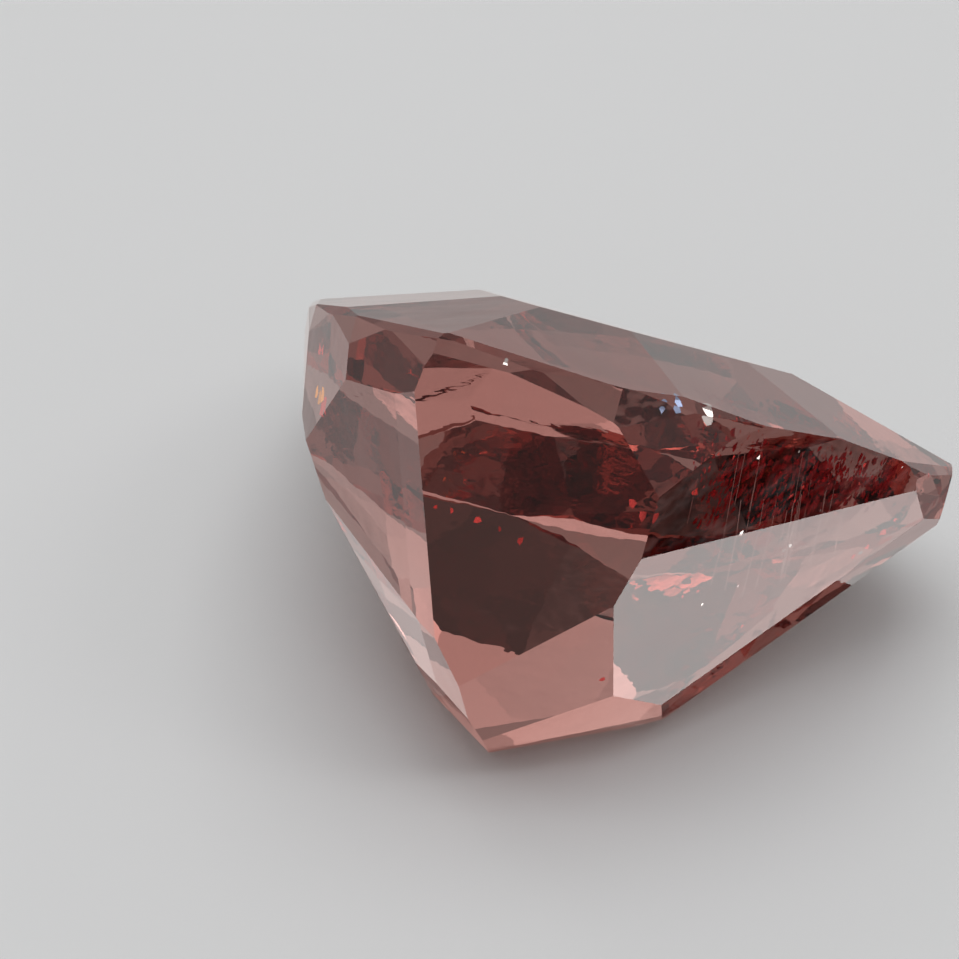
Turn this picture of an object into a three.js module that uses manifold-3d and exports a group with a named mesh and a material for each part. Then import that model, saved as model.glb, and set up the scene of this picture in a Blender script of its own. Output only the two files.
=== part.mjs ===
// A cut garnet: a three-sided stone with bowed sides and one blunted corner, a low crown with a table, and a deep
// pavilion that runs to a point. One solid, cut from a blank facet by facet, as the real one is.
//
// Lengths are in millimetres and angles in degrees. The stone is cut with its table level and facing up, and its
// girdle plane at height 0. It then lies down on one of its pavilion mains, which is how a loose stone of this cut
// rests. +Z is up. The origin is at the middle of the lying stone's box, on the surface that it lies on.
import * as THREE from "three";
import { mergeVertices } from "three/addons/utils/BufferGeometryUtils.js";
import Module from "manifold-3d";

// Outline, seen from the table
const cornerRadius = 5.614; // centre to each corner, where two sides would meet
const outlineShift = new THREE.Vector2(-0.149, 0.299); // the outline is a little off the pavilion's centre
const cornerAzimuths = [270, 150, 30]; // the first faces the front once the stone lies down
const cornerGap = 0.635; // between the ends of two sides' arcs at a corner
const sideBows = [0.112, 0.115, 0.167]; // how far a side bulges, as a share of its length
const girdleSteps = 8; // girdle flats on one side
const bluntCorner = 30; // the one corner that is blunted with a flat
const bluntSetback = 0.408;

// Crown, above the girdle
const tableHeight = 0.82;
const bandSlope = 48; // the narrow facets next to the girdle
const bandHeight = 0.154;
const bandFacets = 4;
const crownSlope = 18.6;
const crownInset = 0.299; // from the outline in to where the crown mains pass bandHeight
const crownSpread = 0.6; // how far a side's outer crown mains turn, as a share of the side's arc

// Pavilion, below the girdle
const girdleHeight = 0.128;
const bellySlope = 79.6; // the steep facets under the girdle
const bellyFacets = 4;
const bellyInset = 0.026;
const shoulderSlope = 57.8; // the pair between the belly and the mains
const shoulderTurn = 18.9;
const shoulderDistance = 3.749;
const mainSlope = 46; // the pair on each side that the stone can lie on
const mainTurn = 7;
const mainDistance = 3.888;
const restSide = 90; // the side whose first main the stone lies on
const restSetback = 0.064; // that main's neighbour is cut this much less, so the stone lies firmly
const culetSlope = 36; // the small facets that meet at the point
const culetDepth = 5.248;
const culetShift = new THREE.Vector2(0.106, -0.117);

// The front side is cut unevenly, so each of its pavilion facets has its own place
const front = {
  azimuth: -30,
  upperLeft: { azimuth: -62, slope: 57.1, distance: 3.822 },
  upperRight: { azimuth: -19, slope: 66.6, distance: 3.624 },
  lowerLeft: { azimuth: -37.3, slope: 44.6, distance: 4.016 },
  lowerRight: { azimuth: -15, slope: 59.4, distance: 3.598 },
  culet: { azimuth: -13.3, slope: 35.9 },
};

// The narrow facets that blunt the pavilion's keels: two along the front corner's, one along the blunt corner's.
// The share says how far a facet turns towards the first of the two that it lies between.
const frontKeel = { share: 0.915, mainDepth: 0.06, shoulderDepth: 0.037 };
const bluntKeel = { share: 0.773, depth: 0.133 };

// The lying stone is turned about the upright axis by this much, after it has been tipped onto its main
const lieTurn = -21.2;

const degrees = Math.PI / 180;

/** A direction that faces out at an azimuth and leans from level (slope 0) to upright (slope 90), below or above. */
function outward(azimuth, slope, above) {
  const a = azimuth * degrees;
  const s = slope * degrees;
  return new THREE.Vector3(Math.sin(s) * Math.cos(a), Math.sin(s) * Math.sin(a), above ? Math.cos(s) : -Math.cos(s));
}

/** One cut: all that lies beyond the plane across normal, through point, is taken off. */
function cut(normal, point) {
  return { normal, distance: normal.dot(point) };
}

function cutAt(normal, distance) {
  return { normal, distance };
}

/** A narrow facet along the edge where two cuts meet: it faces the first by share, and lies depth below the edge. */
function bevel(first, second, share, depth) {
  const normal = first.normal.clone().multiplyScalar(share).addScaledVector(second.normal, 1 - share);
  const size = normal.length();
  const distance = (first.distance * share + second.distance * (1 - share)) / size - depth;
  return cutAt(normal.divideScalar(size), distance);
}

/** The arc of one bowed side: its centre, its radius and the angle from its middle to its end. */
function sideArc(azimuth, bow) {
  const halfSide = cornerRadius * Math.sin(60 * degrees) - cornerGap / 2;
  const bulge = bow * 2 * halfSide;
  const radius = (halfSide * halfSide + bulge * bulge) / (2 * bulge);
  const span = Math.asin(halfSide / radius) / degrees;
  const centre = outward(azimuth, 90, true).multiplyScalar(cornerRadius / 2 + bulge - radius);
  centre.x += outlineShift.x;
  centre.y += outlineShift.y;
  return { azimuth, centre, radius, span };
}

/** A point on or inside a side's arc, at a share of the way from its middle to an end. */
function onArc(arc, share, inset, height) {
  const out = outward(arc.azimuth + share * arc.span, 90, true);
  return arc.centre.clone().addScaledVector(out, arc.radius - inset).setZ(height);
}

/** The shares of an arc at the middles of a number of equal pieces. */
function middles(count) {
  return Array.from({ length: count }, (_, i) => (2 * i + 1) / count - 1);
}

/** A pavilion facet with a place of its own. */
function pavilionCut({ azimuth, slope, distance }) {
  return cutAt(outward(azimuth, slope, false), distance);
}

function shoulderCut(azimuth, turn) {
  return cutAt(outward(azimuth + turn * shoulderTurn, shoulderSlope, false), shoulderDistance);
}

function mainCut(azimuth, turn) {
  const setback = azimuth === restSide && turn === -1 ? restSetback : 0;
  return cutAt(outward(azimuth + turn * mainTurn, mainSlope, false), mainDistance + setback);
}

function culetCut(azimuth, slope) {
  return cut(outward(azimuth, slope, false), new THREE.Vector3(culetShift.x, culetShift.y, -culetDepth));
}

/** The two lower tiers of a regular side. */
function regularCuts(azimuth) {
  const cuts = [culetCut(azimuth, culetSlope)];
  for (const turn of [-1, 1]) {
    cuts.push(shoulderCut(azimuth, turn), mainCut(azimuth, turn));
  }
  return cuts;
}

function frontCuts() {
  const facets = [front.upperLeft, front.upperRight, front.lowerLeft, front.lowerRight];
  return [culetCut(front.culet.azimuth, front.culet.slope), ...facets.map(pavilionCut)];
}

function keelCuts() {
  const before = front.azimuth - 120;
  const after = front.azimuth + 120;
  const { share, mainDepth, shoulderDepth } = frontKeel;
  return [
    bevel(mainCut(before, 1), pavilionCut(front.lowerLeft), share, mainDepth),
    bevel(shoulderCut(before, 1), pavilionCut(front.upperLeft), share, shoulderDepth),
    bevel(pavilionCut(front.lowerRight), shoulderCut(after, -1), bluntKeel.share, bluntKeel.depth),
  ];
}

function sideCuts(azimuth, bow) {
  const arc = sideArc(azimuth, bow);
  const chordInset = arc.radius * (1 - Math.cos((arc.span / girdleSteps) * degrees));
  const cuts = [];
  for (const share of middles(girdleSteps)) {
    cuts.push(cut(outward(azimuth + share * arc.span, 90, true), onArc(arc, share, chordInset, 0)));
  }
  for (const share of middles(bellyFacets)) {
    cuts.push(cut(outward(azimuth + share * arc.span, bellySlope, false), onArc(arc, share, bellyInset, -girdleHeight)));
  }
  for (const share of middles(bandFacets)) {
    cuts.push(cut(outward(azimuth + share * arc.span, bandSlope, true), onArc(arc, share, bellyInset, 0)));
  }
  for (const share of [-crownSpread, 0, crownSpread]) {
    cuts.push(cut(outward(azimuth + share * arc.span, crownSlope, true), onArc(arc, share, crownInset, bandHeight)));
  }
  cuts.push(...(azimuth === front.azimuth ? frontCuts() : regularCuts(azimuth)));
  return cuts;
}

function bluntCut() {
  const out = outward(bluntCorner, 90, true);
  const flat = out.clone().multiplyScalar(cornerRadius - bluntSetback);
  return cut(out, flat.add(new THREE.Vector3(outlineShift.x, outlineShift.y, 0)));
}

/** A closed geometry as a solid that can be cut. */
function solidOf(wasm, geometry) {
  geometry.deleteAttribute("normal");
  geometry.deleteAttribute("uv");
  const welded = mergeVertices(geometry);
  return new wasm.Manifold(
    new wasm.Mesh({
      numProp: 3,
      vertProperties: new Float32Array(welded.attributes.position.array),
      triVerts: new Uint32Array(welded.index.array),
    }),
  );
}

function geometryOf(solid) {
  const mesh = solid.getMesh();
  const geometry = new THREE.BufferGeometry();
  geometry.setAttribute("position", new THREE.BufferAttribute(new Float32Array(mesh.vertProperties), 3));
  geometry.setIndex(new THREE.BufferAttribute(new Uint32Array(mesh.triVerts), 1));
  geometry.computeVertexNormals();
  return geometry;
}

const wasm = await Module();
wasm.setup();

const blankSize = 5 * cornerRadius;
let stone = solidOf(wasm, new THREE.BoxGeometry(blankSize, blankSize, blankSize));
const cuts = [cutAt(new THREE.Vector3(0, 0, 1), tableHeight), bluntCut(), ...keelCuts()];
cornerAzimuths.forEach((azimuth, i) => {
  cuts.push(...sideCuts(azimuth - 60, sideBows[i]));
});
for (const { normal, distance } of cuts) {
  stone = stone.trimByPlane(normal.clone().negate().toArray(), -distance);
}

const garnet = new THREE.Mesh(
  geometryOf(stone),
  new THREE.MeshStandardMaterial({ color: 0x8a4a48, roughness: 0.05, metalness: 0 }),
);
garnet.name = "garnet";

// Lay the stone down: the main on its far side becomes its underside
garnet.rotation.z = -mainTurn * degrees;
const tipped = new THREE.Group();
tipped.rotation.x = -mainSlope * degrees;
tipped.add(garnet);
const turned = new THREE.Group();
turned.rotation.z = lieTurn * degrees;
turned.add(tipped);

const part = new THREE.Group();
part.add(turned);
part.updateMatrixWorld(true);
const box = new THREE.Box3().setFromObject(part, true);
turned.position.set(-(box.min.x + box.max.x) / 2, -(box.min.y + box.max.y) / 2, -box.min.z);

export default part;
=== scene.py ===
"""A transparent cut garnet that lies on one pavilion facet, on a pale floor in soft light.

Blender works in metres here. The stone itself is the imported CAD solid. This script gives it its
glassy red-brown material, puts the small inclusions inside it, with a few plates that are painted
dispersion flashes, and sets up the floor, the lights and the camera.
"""
import math
import random

import bpy
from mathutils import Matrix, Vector


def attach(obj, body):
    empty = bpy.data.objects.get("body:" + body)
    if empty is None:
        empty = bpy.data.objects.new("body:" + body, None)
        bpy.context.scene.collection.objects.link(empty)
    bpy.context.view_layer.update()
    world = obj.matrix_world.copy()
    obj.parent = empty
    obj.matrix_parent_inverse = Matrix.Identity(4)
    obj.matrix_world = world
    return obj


MM = 0.001

# Camera: its height in degrees, its distance, and the width and the middle of what it sees.
# Places in its picture are found by rays that start clear of the stone.
VIEW_ELEVATION = 44.5
VIEW_DISTANCE = 0.5
VIEW_WIDTH = 959 * 0.01377 * MM
VIEW_TARGET = Vector((-2.023, 2.100, 0)) * MM
SENSOR_WIDTH = 36
CLEAR_OF_STONE = 0.05

# Garnet: in each metre it absorbs (1 - tint) times the density. The polish has a faint ripple.
REFRACTION = 1.76
BODY_TINT = (0.77, 0.40, 0.34, 1)
BODY_DENSITY = 250
RIPPLE_SCALE = 900
RIPPLE_DETAIL = 3
RIPPLE_HEIGHT = 0.009 * MM

# Studio light: a pale room, and soft patches in it that are brighter or darker than the rest.
# Each patch is (azimuth from +X, elevation, half width, change of brightness), angles in degrees.
ROOM_COLOUR = (1, 0.955, 0.93, 1)
ROOM_BRIGHTNESS = 0.34
ROOM_AS_BACKGROUND = 0.6
ROOM_PATCHES = {
    "window": (-15, 54, 12, 2.4),
    "backdrop": (65, 14, 28, 0.45),
    "back_wall": (94, 54, 32, 0.36),
    "left_window": (125, 44, 14, 0.45),
    "white_card": (168, 40, 18, 0.5),
    "side_card": (22, 49, 14, 0.25),
    "high_card": (41, 64, 11, 0.8),
    "dark_ceiling": (104, 86, 13, -0.26),
    "dark_front": (261, 22, 20, -0.18),
    "dark_curtain": (182, 15, 22, -0.34),
    "low_right_shade": (338, 6, 16, -0.16),
    "dark_corner": (332, 41, 13, -0.34),
}
LAMP_POWER = 1.05
LAMP_SIZE = 0.4
LAMP_PLACE = (0, 0.05, 0.5)

# Floor: its half width and how far it lies under the stone.
FLOOR_HALF_WIDTH = 0.6
FLOOR_GAP = 0.01 * MM
FLOOR_COLOUR = (0.775, 0.80, 0.815, 1)
FLOOR_SHEEN_COLOUR = (0.93, 0.93, 0.94, 1)

# Single plates, in mm, each tilted to glint: most are inclusions, some are painted dispersion flashes.
# (across, up) in the camera's picture, counted from the frame's origin, then the depth under the facet
# that is seen there, and the size.
SILVERY_GLINTS = [
    (1.77, 1.77, 0.5, 0.035), (2.32, 1.85, 0.4, 0.02), (3.74, 1.64, 0.08, 0.018),
    (1.54, 0.74, 0.1, 0.045), (1.01, -0.23, 0.2, 0.025), (1.50, 0.02, 0.2, 0.02),
    # The third plate on the next line (1.08 across, 2.40 up) is a painted white dispersion flash under the
    # girdle.
    (3.18, 0.47, 0.06, 0.035), (2.21, 0.57, 0.1, 0.035), (1.08, 2.40, 0.25, 0.11),
    (1.95, 1.20, 0.6, 0.02), (3.42, 0.66, 0.06, 0.025), (2.12, 0.50, 0.1, 0.03),
    (-1.67, 3.05, 0.1, 0.04), (2.62, 1.05, 0.1, 0.015),
]
RED_GLINTS = [
    (2.73, 1.40, 0.4, 0.05), (3.22, 1.67, 0.2, 0.04), (4.11, 1.54, 0.05, 0.025),
    (0.74, -0.12, 0.2, 0.04), (1.56, -0.53, 0.15, 0.035), (3.49, 0.75, 0.05, 0.06),
    (3.08, 0.42, 0.06, 0.05), (0.19, 0.98, 0.5, 0.08), (-1.47, 0.64, 0.4, 0.06),
    (-2.40, 1.05, 0.4, 0.05), (-2.05, 0.92, 0.4, 0.07), (-2.62, 1.10, 0.4, 0.04),
    (0.05, 1.15, 0.8, 0.09), (0.90, 1.30, 0.8, 0.06), (-0.35, -1.25, 0.2, 0.05),
    (3.27, 0.55, 0.06, 0.045), (3.65, 0.92, 0.05, 0.03), (0.95, -0.05, 0.2, 0.03),
    # The plates near -4.2 across, on this line and the next, are painted red dispersion flashes at the left
    # edge.
    (-4.20, 3.24, 0.08, 0.08), (-1.75, 0.80, 0.4, 0.04), (-4.16, 3.23, 0.08, 0.08),
    (-4.17, 2.43, 0.08, 0.12), (-4.13, 2.50, 0.08, 0.12),
]
# Painted dispersion flashes: orange plates at the left edge stand in for light that the facets split into
# colours.
ORANGE_GLINTS = [
    (-4.24, 2.66, 0.08, 0.11), (-4.20, 2.58, 0.08, 0.13), (-4.16, 2.62, 0.08, 0.12),
]
# Painted dispersion flashes: blue plates under the girdle stand in for light that the facets split into
# colours.
BLUE_GLINTS = [
    (0.67, 2.52, 0.25, 0.10), (0.45, 2.42, 0.3, 0.05),
]
GLINT_SPREAD = 0.03
GLINT_STRETCH = (0.5, 1)
LEAST_FACING = 0.1

# Plates: the way in which most of them lie, then their shape as shares of their radius.
GRAIN = Vector((-0.19, -0.70, -0.69))
PLATE_HALF_THICKNESS = 0.08
PLATE_UNEVENNESS = 0.3
PLATE_TURN = 0.25

# Clouds of flakes, in mm, placed as the single plates are. Each of the first pairs holds for the
# inner end of the clouds, in the middle of the stone, and for the outer end, at its long corner.
CLOUD_ACROSS = (0.95, 3.60)
CLOUD_LOWEST = (0.82, 1.42)
CLOUD_HIGHEST = (2.20, 1.45)
CLOUD_DEEPEST = (1.40, 0.25)
CLOUD_LEAST_DEPTH = 0.15
CLOUD_THICKENING = 0.75
CLOUD_RADIUS = 0.09
CLOUD_LENGTH = 0.16
FLAKE_STRETCH = (0.25, 0.6)
SKIN_OVER_FLAKES = 0.04

# Needles, in mm, placed in the same way. Their tops follow the girdle, which falls to the right,
# and none goes below the stone's lower edge, which rises to the right.
NEEDLE_COUNT = 22
NEEDLE_RADIUS = 0.006
NEEDLE_ACROSS = (0.9, 3.0)
NEEDLE_TOP = (1.3, 2.3)
GIRDLE_FALL = 0.25
EDGE_START = -1.05
EDGE_RISE = 0.5
NEEDLE_LENGTH = (0.5, 2.0)
NEEDLE_LEAN = 0.2
NEEDLE_LEAN_SPREAD = 0.03
NEEDLE_DEPTH = (0.1, 0.5)


def between(pair, share):
    first, last = pair
    return first + (last - first) * share


def garnet_material():
    """Clear stone with a faintly rippled polish; its colour comes from how far the light goes in it."""
    mat = bpy.data.materials.new("garnet")
    mat.use_nodes = True
    nodes, links = mat.node_tree.nodes, mat.node_tree.links
    shader = nodes["Principled BSDF"]
    shader.inputs["Base Color"].default_value = (1, 1, 1, 1)
    shader.inputs["Roughness"].default_value = 0.0
    shader.inputs["IOR"].default_value = REFRACTION
    shader.inputs["Transmission Weight"].default_value = 1
    place = nodes.new("ShaderNodeTexCoord")
    ripple = nodes.new("ShaderNodeTexNoise")
    ripple.inputs["Scale"].default_value = RIPPLE_SCALE
    ripple.inputs["Detail"].default_value = RIPPLE_DETAIL
    polish = nodes.new("ShaderNodeBump")
    polish.inputs["Distance"].default_value = RIPPLE_HEIGHT
    links.new(place.outputs["Object"], ripple.inputs["Vector"])
    links.new(ripple.outputs["Fac"], polish.inputs["Height"])
    links.new(polish.outputs["Normal"], shader.inputs["Normal"])
    depth = nodes.new("ShaderNodeVolumeAbsorption")
    depth.inputs["Color"].default_value = BODY_TINT
    depth.inputs["Density"].default_value = BODY_DENSITY
    links.new(depth.outputs["Volume"], nodes["Material Output"].inputs["Volume"])
    return mat


def bright_material(name, colour, roughness):
    """The shiny face of an inclusion, or of a plate that is a painted dispersion flash."""
    mat = bpy.data.materials.new(name)
    mat.use_nodes = True
    shader = mat.node_tree.nodes["Principled BSDF"]
    shader.inputs["Base Color"].default_value = colour
    shader.inputs["Metallic"].default_value = 1
    shader.inputs["Roughness"].default_value = roughness
    return mat


def toward(azimuth, elevation):
    a, e = math.radians(azimuth), math.radians(elevation)
    return Vector((math.cos(e) * math.cos(a), math.cos(e) * math.sin(a), math.sin(e)))


def refracted(direction, normal, ratio):
    """Direction of light after it crosses a facet; the normal points back at where the light comes from."""
    cosine = -direction.dot(normal)
    return direction * ratio + normal * (ratio * cosine - math.sqrt(1 - ratio ** 2 * (1 - cosine ** 2)))


def behind_facet(stone, across, up, depth):
    """The point that the camera sees at this place in its picture, so deep under the facet there."""
    e = math.radians(VIEW_ELEVATION)
    ahead = Vector((0, math.cos(e), -math.sin(e)))
    start = Vector((across, up * math.sin(e), up * math.cos(e))) * MM - ahead * CLEAR_OF_STONE
    found, place, facet, _ = stone.ray_cast(start, ahead)
    if not found:
        raise ValueError(f"no facet at {across}, {up}")
    inward = refracted(ahead, facet, 1 / REFRACTION)
    return place + inward * depth * MM, inward, facet


def is_inside(stone, place, margin):
    """The stone is convex, so a place is inside when it lies behind every facet."""
    return all((place - face.center).dot(face.normal) < -margin for face in stone.data.polygons)


def glint_normal(inward, facet):
    """The tilt at which a plate under this facet throws a bright patch's light at the camera."""
    source = toward(*ROOM_PATCHES["window"][:2])
    if source.dot(facet) < LEAST_FACING:
        source = toward(*ROOM_PATCHES["white_card"][:2])
    light = refracted(-source, facet, 1 / REFRACTION)
    return -(inward + light).normalized()


def tilted(normal, spread, chance):
    return (normal + Vector([chance.gauss(0, spread) for _ in range(3)])).normalized()


def add_plate(shape, centre, normal, radius, stretch, chance):
    """A thin crystal plate with five to seven uneven sides, longest along the stone's grain."""
    verts, faces = shape
    side = (GRAIN - normal * normal.dot(GRAIN)).normalized()
    other = normal.cross(side)
    count = chance.randint(5, 7)
    first, turn = len(verts), chance.gauss(0, PLATE_TURN)
    phase = 20 * turn
    for level in (-PLATE_HALF_THICKNESS, PLATE_HALF_THICKNESS):
        for k in range(count):
            a = math.tau * k / count
            reach = radius * (1 + PLATE_UNEVENNESS * math.sin(3 * a + phase))
            flat = side * math.cos(a + turn) + other * math.sin(a + turn) * stretch
            verts.append(centre + flat * reach + normal * level * radius)
    bottom = [first + k for k in range(count)]
    top = [first + count + k for k in range(count)]
    faces.append(bottom[::-1])
    faces.append(top)
    for k in range(count):
        n = (k + 1) % count
        faces.append([bottom[k], bottom[n], top[n], top[k]])


def add_needle(shape, start, end, radius):
    """A thin four-sided rod between two points."""
    verts, faces = shape
    along = (end - start).normalized()
    side = along.orthogonal().normalized()
    other = along.cross(side)
    first = len(verts)
    for place in (start, end):
        for x, y in ((1, 0), (0, 1), (-1, 0), (0, -1)):
            verts.append(place + (side * x + other * y) * radius)
    ring = [0, 1, 2, 3]
    faces.append([first + k for k in ring[::-1]])
    faces.append([first + 4 + k for k in ring])
    for k in ring:
        n = (k + 1) % 4
        faces.append([first + k, first + n, first + 4 + n, first + 4 + k])


def make_inner_piece(name, shape, material):
    verts, faces = shape
    mesh = bpy.data.meshes.new(name)
    mesh.from_pydata([tuple(v) for v in verts], [], faces)
    mesh.materials.append(material)
    piece = bpy.data.objects.new(name, mesh)
    bpy.context.scene.collection.objects.link(piece)
    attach(piece, "root")


def make_glints(name, stone, places, material, chance):
    """Single plates that each throw a flash at the camera."""
    shape = ([], [])
    for across, up, depth, size in places:
        centre, inward, facet = behind_facet(stone, across, up, depth)
        normal = tilted(glint_normal(inward, facet), GLINT_SPREAD, chance)
        add_plate(shape, centre, normal, size * MM, chance.uniform(*GLINT_STRETCH), chance)
    make_inner_piece(name, shape, material)


def make_flakes(name, stone, clouds, count, sizes, spread, material, chance):
    """Clouds of small flakes, thickest towards the stone's long corner."""
    shape = ([], [])
    for _ in range(clouds):
        along = chance.random() ** CLOUD_THICKENING
        across = between(CLOUD_ACROSS, along)
        up = chance.uniform(between(CLOUD_LOWEST, along), between(CLOUD_HIGHEST, along))
        depth = chance.uniform(CLOUD_LEAST_DEPTH, between(CLOUD_DEEPEST, along))
        middle, inward, facet = behind_facet(stone, across, up, depth)
        for _ in range(count):
            away = Vector([chance.gauss(0, CLOUD_RADIUS) for _ in range(3)])
            away += GRAIN * chance.gauss(0, CLOUD_LENGTH)
            normal = tilted(glint_normal(inward, facet), spread, chance)
            size, stretch = chance.uniform(*sizes) * MM, chance.uniform(*FLAKE_STRETCH)
            place = middle + away * MM
            if is_inside(stone, place, 0.5 * size + SKIN_OVER_FLAKES * MM):
                add_plate(shape, place, normal, size, stretch, chance)
    make_inner_piece(name, shape, material)


def make_needles(stone, material, chance):
    """Fine straight needles that all lean one way."""
    shape = ([], [])
    for _ in range(NEEDLE_COUNT):
        across = chance.uniform(*NEEDLE_ACROSS)
        top = chance.uniform(*NEEDLE_TOP) - GIRDLE_FALL * (across - NEEDLE_ACROSS[0])
        lowest = EDGE_START + EDGE_RISE * across
        length = min(chance.uniform(*NEEDLE_LENGTH), top - lowest)
        lean = NEEDLE_LEAN + chance.gauss(0, NEEDLE_LEAN_SPREAD)
        depth = chance.uniform(*NEEDLE_DEPTH)
        start = behind_facet(stone, across, top, depth)[0]
        end = behind_facet(stone, across - lean * length, top - length, depth)[0]
        add_needle(shape, start, end, NEEDLE_RADIUS * MM)
    make_inner_piece("needles", shape, material)


def make_inclusions_and_flashes(stone):
    """Everything that grew inside the stone, and the plates that are painted dispersion flashes; the same
    at each run.
    """
    chance = random.Random(7)
    # The silvery and red materials serve inclusions and painted dispersion flashes; the blue and orange
    # ones only painted dispersion flashes.
    silvery = bright_material("silvery_inclusion_and_flash", (1, 0.96, 0.94, 1), 0.12)
    red = bright_material("red_inclusion_and_flash", (1, 0.10, 0.09, 1), 0.25)
    blue = bright_material("blue_dispersion_flash", (0.5, 0.65, 1, 1), 0.12)
    orange = bright_material("orange_dispersion_flash", (1, 0.42, 0.10, 1), 0.12)
    crimson = bright_material("crimson_inclusion", (0.6, 0.02, 0.025, 1), 0.5)
    pale = bright_material("needle_inclusion", (1, 0.9, 0.87, 1), 0.35)
    make_glints("silvery_glints", stone, SILVERY_GLINTS, silvery, chance)
    make_glints("red_glints", stone, RED_GLINTS, red, chance)
    make_glints("blue_glints", stone, BLUE_GLINTS, blue, chance)
    make_glints("orange_glints", stone, ORANGE_GLINTS, orange, chance)
    make_flakes("red_flakes", stone, clouds=12, count=7, sizes=(0.015, 0.045), spread=0.16,
                material=red, chance=chance)
    make_flakes("crimson_flakes", stone, clouds=60, count=18, sizes=(0.015, 0.075), spread=0.25,
                material=crimson, chance=chance)
    make_needles(stone, pale, chance)


def floor_material():
    """Pale and matte where the camera sees it; all other light meets it as a white polish.

    So the stone, which is clear, gets as much light from below as from above.
    """
    mat = bpy.data.materials.new("pale_floor")
    mat.use_nodes = True
    nodes, links = mat.node_tree.nodes, mat.node_tree.links
    matte = nodes["Principled BSDF"]
    matte.inputs["Base Color"].default_value = FLOOR_COLOUR
    matte.inputs["Roughness"].default_value = 0.9
    matte.inputs["Specular IOR Level"].default_value = 0.2
    sheen = nodes.new("ShaderNodeBsdfGlossy")
    sheen.inputs["Color"].default_value = FLOOR_SHEEN_COLOUR
    sheen.inputs["Roughness"].default_value = 0.0
    path = nodes.new("ShaderNodeLightPath")
    either = nodes.new("ShaderNodeMixShader")
    links.new(path.outputs["Is Camera Ray"], either.inputs[0])
    links.new(sheen.outputs[0], either.inputs[1])
    links.new(matte.outputs[0], either.inputs[2])
    links.new(either.outputs[0], nodes["Material Output"].inputs["Surface"])
    return mat


def make_floor():
    """It lies a hair under the stone, so that the resting facet and the floor don't share one plane."""
    half, level = FLOOR_HALF_WIDTH, -FLOOR_GAP
    square = [(-half, -half, level), (half, -half, level), (half, half, level), (-half, half, level)]
    mesh = bpy.data.meshes.new("floor")
    mesh.from_pydata(square, [], [(0, 1, 2, 3)])
    mesh.materials.append(floor_material())
    floor = bpy.data.objects.new("floor", mesh)
    bpy.context.scene.collection.objects.link(floor)


def room_patch(tree, direction, azimuth, elevation, width, change):
    """A round patch of the room with a soft edge; gives the change that it makes in each direction."""
    nodes, links = tree.nodes, tree.links
    nearness = nodes.new("ShaderNodeVectorMath")
    nearness.operation = "DOT_PRODUCT"
    nearness.inputs[1].default_value = toward(azimuth, elevation)
    links.new(direction, nearness.inputs[0])
    fade = nodes.new("ShaderNodeMapRange")
    fade.interpolation_type = "SMOOTHSTEP"
    fade.inputs["From Min"].default_value = math.cos(math.radians(width))
    fade.inputs["From Max"].default_value = 1
    fade.inputs["To Max"].default_value = change
    links.new(nearness.outputs["Value"], fade.inputs["Value"])
    return fade.outputs["Result"]


def patched_room(tree, direction):
    """The room's brightness in each direction, with all its patches added up."""
    nodes, links = tree.nodes, tree.links
    even = nodes.new("ShaderNodeValue")
    even.outputs[0].default_value = ROOM_BRIGHTNESS
    brightness = even.outputs[0]
    for azimuth, elevation, width, change in ROOM_PATCHES.values():
        add = nodes.new("ShaderNodeMath")
        add.operation = "ADD"
        links.new(brightness, add.inputs[0])
        links.new(room_patch(tree, direction, azimuth, elevation, width, change), add.inputs[1])
        brightness = add.outputs[0]
    return brightness


def make_world():
    """The pale room with its patches lights the stone; the camera itself sees it plain."""
    world = bpy.data.worlds.new("room")
    bpy.context.scene.world = world
    world.use_nodes = True
    tree = world.node_tree
    nodes, links = tree.nodes, tree.links
    direction = nodes.new("ShaderNodeTexCoord").outputs["Generated"]
    path = nodes.new("ShaderNodeLightPath")
    plain = nodes.new("ShaderNodeMix")
    plain.data_type = "FLOAT"
    links.new(path.outputs["Is Camera Ray"], plain.inputs["Factor"])
    links.new(patched_room(tree, direction), plain.inputs[2])
    plain.inputs[3].default_value = ROOM_AS_BACKGROUND
    back = nodes["Background"]
    back.inputs["Color"].default_value = ROOM_COLOUR
    links.new(plain.outputs[0], back.inputs["Strength"])


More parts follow.
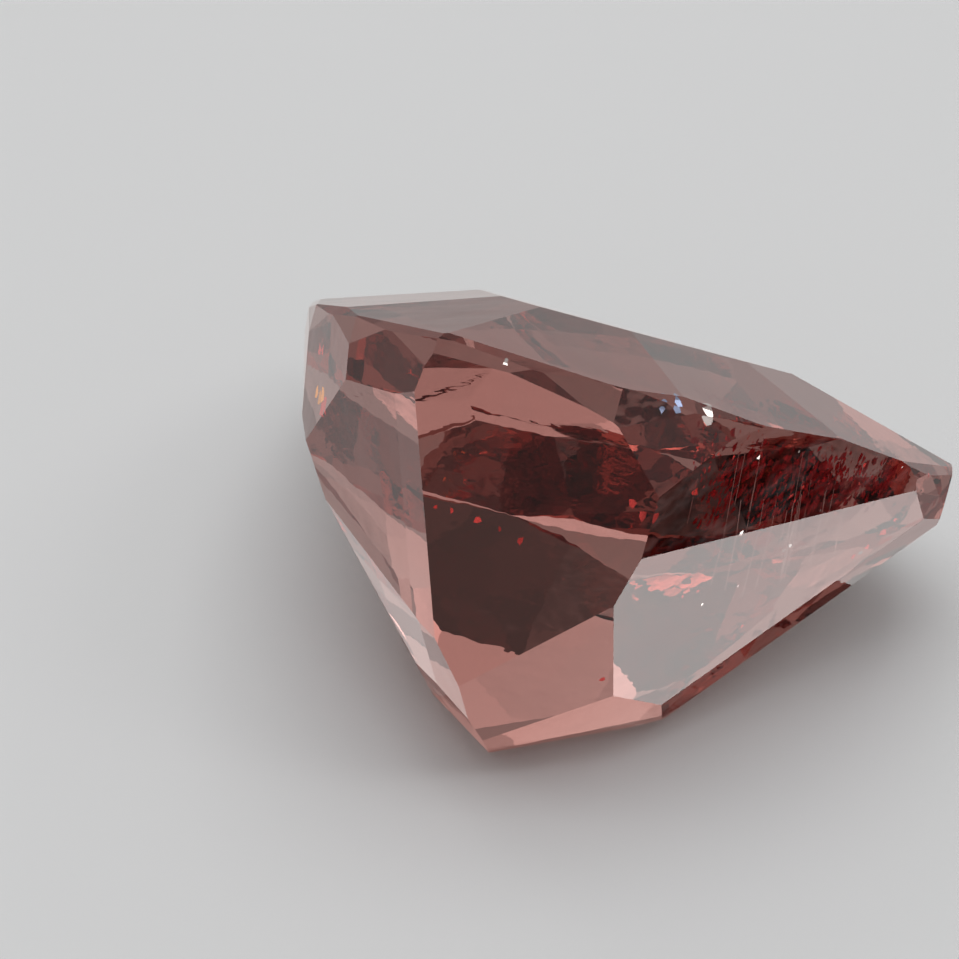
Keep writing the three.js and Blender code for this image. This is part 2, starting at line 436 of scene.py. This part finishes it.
def make_floor_lamp():
    """A wide lamp overhead that lights the floor alone: it shows in no polish and through no glass."""
    data = bpy.data.lights.new("floor_lamp", "AREA")
    data.shape = "RECTANGLE"
    data.size, data.size_y = LAMP_SIZE, LAMP_SIZE
    data.energy = LAMP_POWER
    lamp = bpy.data.objects.new("floor_lamp", data)
    lamp.location = LAMP_PLACE
    lamp.visible_glossy = False
    lamp.visible_transmission = False
    bpy.context.scene.collection.objects.link(lamp)


def make_camera():
    """It looks down at the stone from the front, from far enough away to show little perspective."""
    data = bpy.data.cameras.new("camera")
    data.sensor_fit = "HORIZONTAL"
    data.sensor_width = SENSOR_WIDTH
    data.lens = SENSOR_WIDTH * VIEW_DISTANCE / VIEW_WIDTH
    data.clip_start, data.clip_end = 0.05, 3
    camera = bpy.data.objects.new("camera", data)
    e = math.radians(VIEW_ELEVATION)
    camera.location = VIEW_TARGET + Vector((0, -math.cos(e), math.sin(e))) * VIEW_DISTANCE
    camera.rotation_mode = "XYZ"
    camera.rotation_euler = (math.radians(90) - e, 0, 0)
    bpy.context.scene.collection.objects.link(camera)
    bpy.context.scene.camera = camera


def set_scene(scene):
    """Plain colours, and long light paths, because light turns many times inside a cut stone."""
    scene.view_settings.view_transform = "Standard"
    scene.cycles.max_bounces = 32
    scene.cycles.transmission_bounces = 32
    scene.cycles.glossy_bounces = 12
    scene.cycles.volume_bounces = 2
    scene.cycles.denoising_input_passes = "RGB"


def dress_stone(stone):
    """The stone keeps its solid, with flat facets, and gets its own material."""
    stone.data.materials.clear()
    stone.data.materials.append(garnet_material())
    for face in stone.data.polygons:
        face.use_smooth = False


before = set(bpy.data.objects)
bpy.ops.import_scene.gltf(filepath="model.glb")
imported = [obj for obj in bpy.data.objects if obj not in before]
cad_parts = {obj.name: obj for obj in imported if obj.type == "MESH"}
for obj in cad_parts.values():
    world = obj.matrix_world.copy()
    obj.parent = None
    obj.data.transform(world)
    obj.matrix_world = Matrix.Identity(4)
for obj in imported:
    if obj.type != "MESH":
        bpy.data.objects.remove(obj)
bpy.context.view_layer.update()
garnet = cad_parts["garnet"]

set_scene(bpy.context.scene)
dress_stone(garnet)
make_inclusions_and_flashes(garnet)
make_floor()
make_world()
make_floor_lamp()
make_camera()
